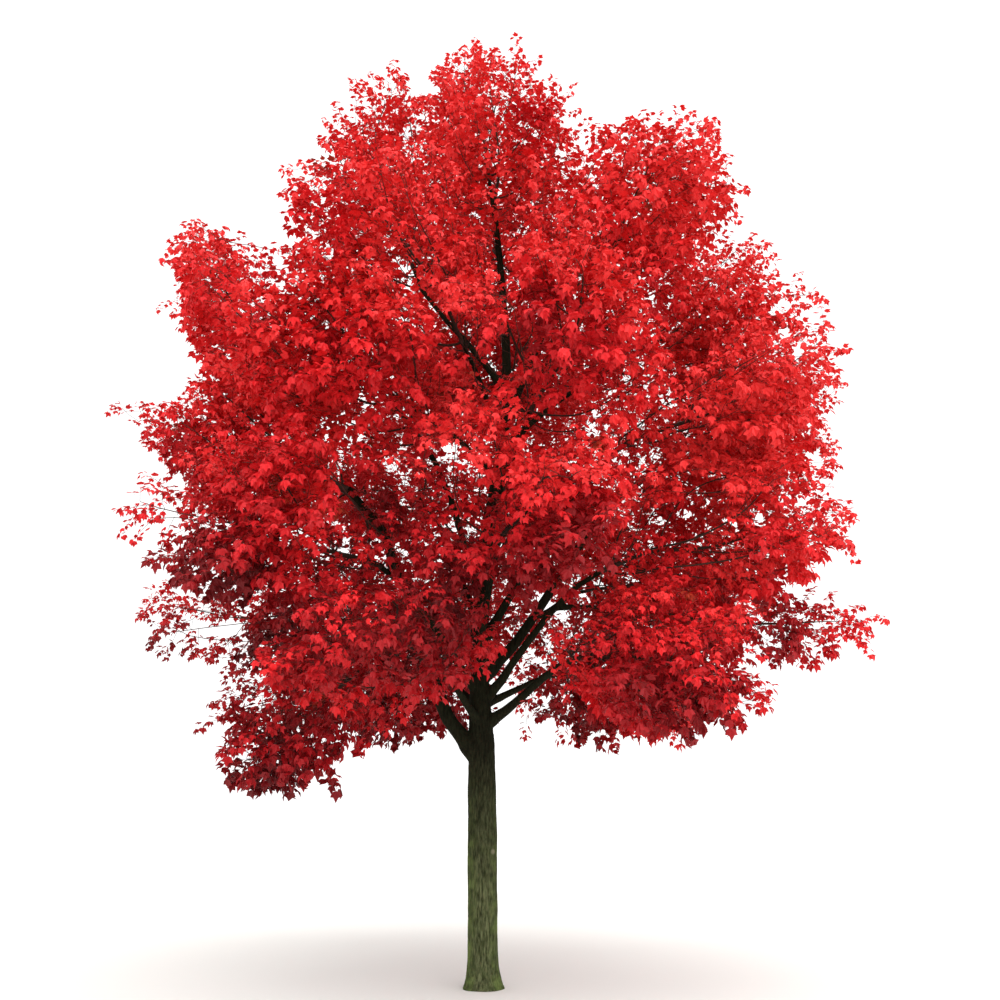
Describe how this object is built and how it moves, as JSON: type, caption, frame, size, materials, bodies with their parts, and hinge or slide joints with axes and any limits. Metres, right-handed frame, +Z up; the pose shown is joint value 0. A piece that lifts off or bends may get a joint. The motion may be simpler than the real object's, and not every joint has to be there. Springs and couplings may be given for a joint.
{
  "type": "red maple tree",
  "caption": "Red maple tree in full autumn leaf, with one straight trunk, rising boughs and a broad round crown, rooted in level ground.",
  "frame": {"origin": "middle of the flat cut under the trunk, at ground level", "axes": "+Z up along the trunk; -Y towards the side the crown shows; +X to the right of that view"},
  "size_m": [7.4792, 6.9916, 9.5978],
  "materials": {
    "bark": "rough bark, mossy grey-green on the bole and near black on the boughs",
    "leaves": "matt to satin autumn leaves in saturated reds"
  },
  "bodies": {
    "root": {"bough_high_front": "bark", "bough_high_left": "bark", "bough_high_rear": "bark", "bough_high_right": "bark", "bough_low_arm": "bark", "bough_low_front": "bark", "bough_low_front_left": "bark", "bough_low_left": "bark", "bough_low_rear": "bark", "bough_low_rear_right": "bark", "bough_low_right": "bark", "bough_middle_front": "bark", "bough_middle_front_left": "bark", "bough_middle_front_right": "bark", "bough_middle_left": "bark", "bough_middle_rear": "bark", "bough_middle_rear_left": "bark", "bough_middle_right": "bark", "bough_skirt_front": "bark", "bough_skirt_left": "bark", "bough_skirt_rear": "bark", "bough_skirt_rear_right": "bark", "bough_skirt_right": "bark", "bough_upper_front": "bark", "bough_upper_front_left": "bark", "bough_upper_left": "bark", "bough_upper_rear": "bark", "bough_upper_right": "bark", "leaves_high_front": "leaves", "leaves_high_left": "leaves", "leaves_high_rear": "leaves", "leaves_high_right": "leaves", "leaves_low_arm": "leaves", "leaves_low_front": "leaves", "leaves_low_front_left": "leaves", "leaves_low_left": "leaves", "leaves_low_rear": "leaves", "leaves_low_rear_right": "leaves", "leaves_low_right": "leaves", "leaves_middle_front": "leaves", "leaves_middle_front_left": "leaves", "leaves_middle_front_right": "leaves", "leaves_middle_left": "leaves", "leaves_middle_rear": "leaves", "leaves_middle_rear_left": "leaves", "leaves_middle_right": "leaves", "leaves_skirt_front": "leaves", "leaves_skirt_left": "leaves", "leaves_skirt_rear": "leaves", "leaves_skirt_rear_right": "leaves", "leaves_skirt_right": "leaves", "leaves_top": "leaves", "leaves_upper_front": "leaves", "leaves_upper_front_left": "leaves", "leaves_upper_left": "leaves", "leaves_upper_rear": "leaves", "leaves_upper_right": "leaves", "trunk": "bark"}
  },
  "joints": []
}
